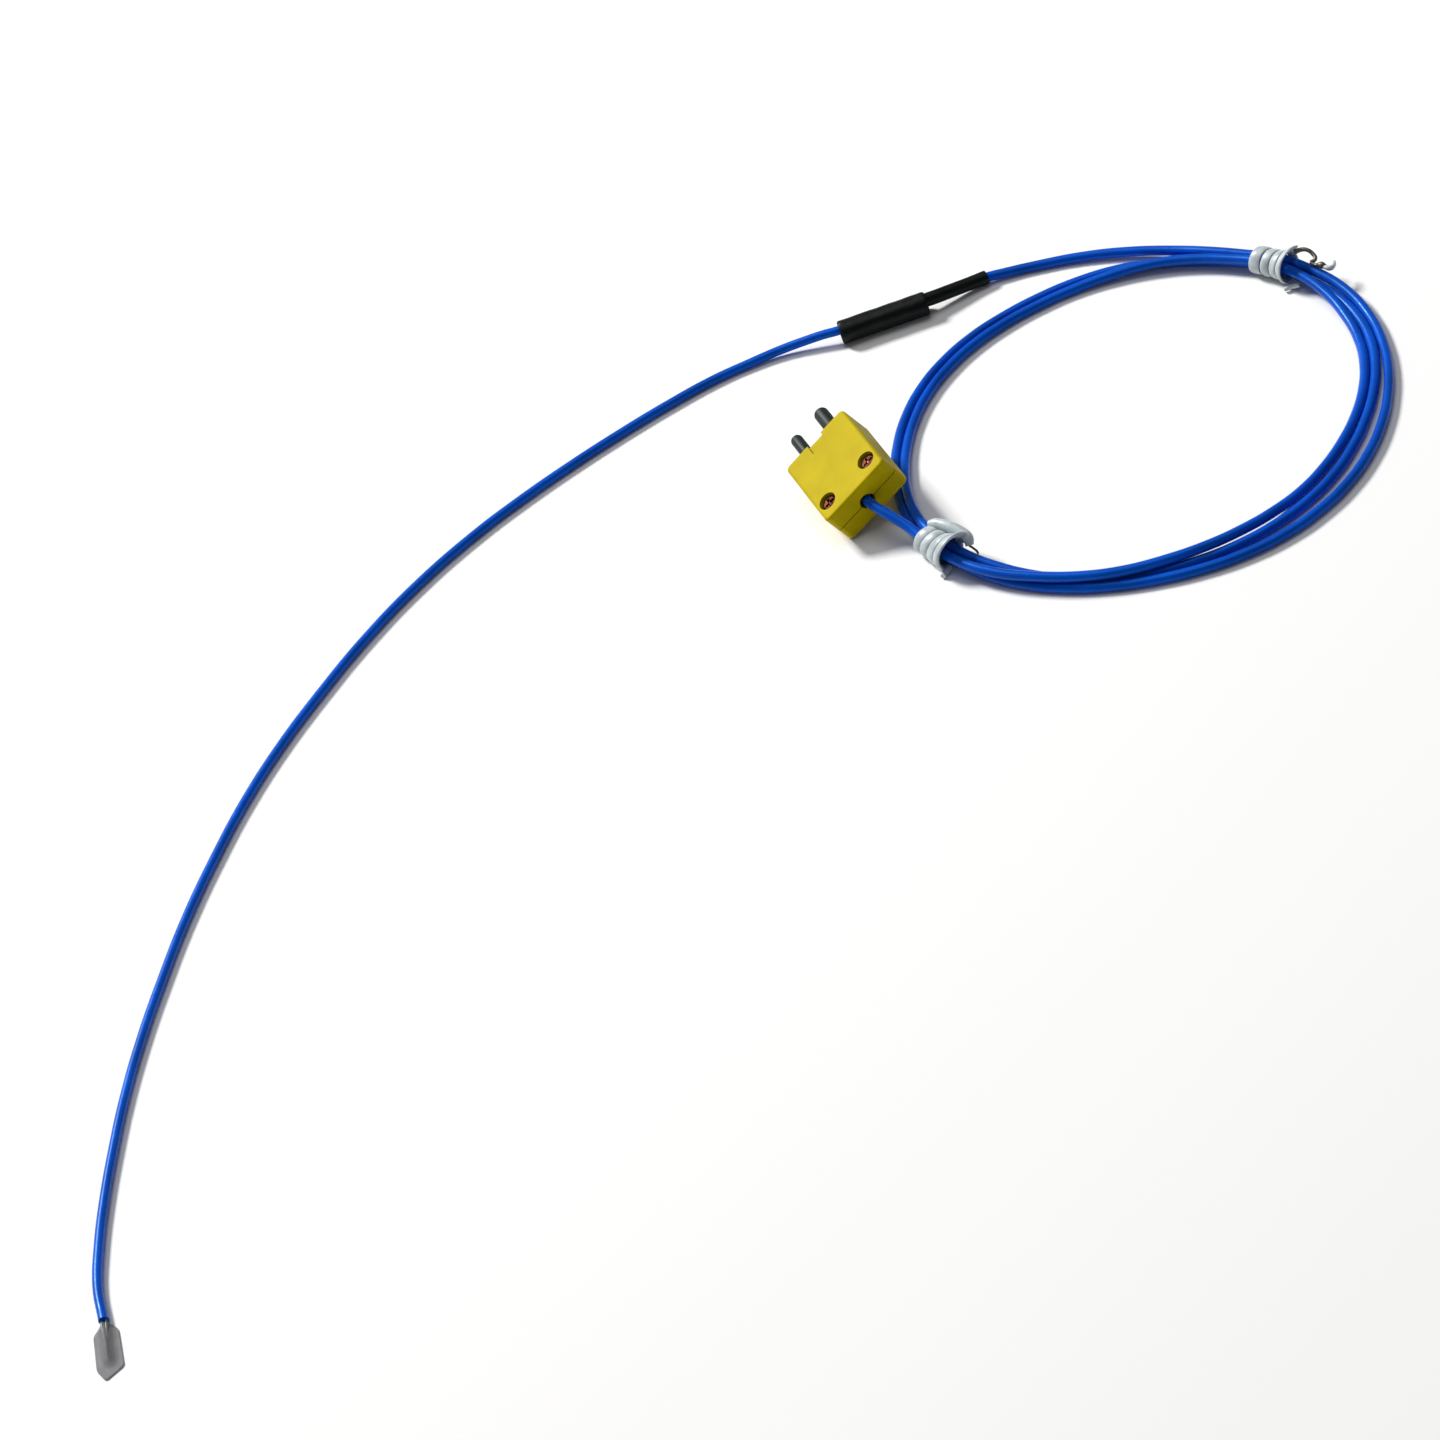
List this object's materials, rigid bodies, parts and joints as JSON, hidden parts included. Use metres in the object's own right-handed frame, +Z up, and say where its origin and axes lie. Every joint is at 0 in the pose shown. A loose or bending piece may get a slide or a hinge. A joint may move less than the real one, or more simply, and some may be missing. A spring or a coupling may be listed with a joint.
{
  "type": "thermocouple",
  "caption": "Contact thermocouple: a thin blue sensing lead with a film-covered tip, a heat-shrunk splice, a coiled blue extension cable and a yellow two-pin plug.",
  "frame": {"origin": "under the middle of the plug (pins included), on the surface that the whole thermocouple lies on", "axes": "+Y the way the two pins point, +Z up from the surface; the plug leans 27.5 degrees about Y, on its lower left long edge"},
  "size_m": [0.4776, 0.2795, 0.0224],
  "materials": {
    "plug_plastic": "satin moulded glass-filled plastic",
    "black_rubber": "matt",
    "bright_steel": "plated",
    "insert_brass": "bare",
    "pin_metal": "dull dark alloy",
    "red_core": "gloss",
    "white_core": "gloss",
    "cable_sheath": "gloss extruded",
    "lead_sheath": "gloss extruded",
    "tie_plastic": "satin coated wire",
    "shrink_sleeve": "satin heat-shrunk",
    "thermo_alloy": "oxidised",
    "clear_film": "clear film"
  },
  "bodies": {
    "plug": {"plug_base": "plug_plastic", "cable_grommet": "black_rubber", "cover_insert_right": "insert_brass", "cover_insert_left": "insert_brass", "pin_positive": "pin_metal", "pin_negative": "pin_metal", "terminal_washer_positive": "bright_steel", "terminal_washer_negative": "bright_steel", "plug_core_positive": "red_core", "plug_core_negative": "white_core", "cable_tail": "cable_sheath", "cable_run": "cable_sheath", "cable_coil": "cable_sheath", "tie_lower": "tie_plastic", "tie_upper": "tie_plastic", "sleeve_thick": "shrink_sleeve", "sleeve_thin": "shrink_sleeve", "crimp_positive": "insert_brass", "crimp_negative": "insert_brass", "cable_core_positive": "red_core", "cable_core_negative": "white_core", "lead_core_positive": "red_core", "lead_core_negative": "white_core", "sensing_lead": "lead_sheath", "tip_core_positive": "thermo_alloy", "tip_core_negative": "thermo_alloy", "junction_bead": "thermo_alloy", "tip_film": "clear_film", "tip_film_cover": "clear_film"},
    "cover": {"plug_cover": "plug_plastic"},
    "cover_screw_right": {"cover_screw_right": "bright_steel"},
    "cover_screw_left": {"cover_screw_left": "bright_steel"},
    "terminal_screw_positive": {"terminal_screw_positive": "bright_steel"},
    "terminal_screw_negative": {"terminal_screw_negative": "bright_steel"}
  },
  "joints": [
    {"name": "cover_lift", "type": "slide", "parent": "plug", "child": "cover", "axis": [-0.4618, 0, 0.887], "range_m": [0, 0.02]},
    {"name": "cover_screw_right_turn", "type": "hinge", "parent": "cover", "child": "cover_screw_right", "pos_m": [0.0075, -0.0167, 0.01508], "axis": [-0.4618, 0, 0.887], "continuous": true},
    {"name": "cover_screw_left_turn", "type": "hinge", "parent": "cover", "child": "cover_screw_left", "pos_m": [-0.0075, -0.0167, 0.00728], "axis": [-0.4618, 0, 0.887], "continuous": true},
    {"name": "terminal_screw_positive_turn", "type": "hinge", "parent": "plug", "child": "terminal_screw_positive", "pos_m": [-0.00492, -0.0021, 0.00862], "axis": [-0.4618, 0, 0.887], "continuous": true},
    {"name": "terminal_screw_negative_turn", "type": "hinge", "parent": "plug", "child": "terminal_screw_negative", "pos_m": [0.00492, -0.0021, 0.01374], "axis": [-0.4618, 0, 0.887], "continuous": true}
  ]
}
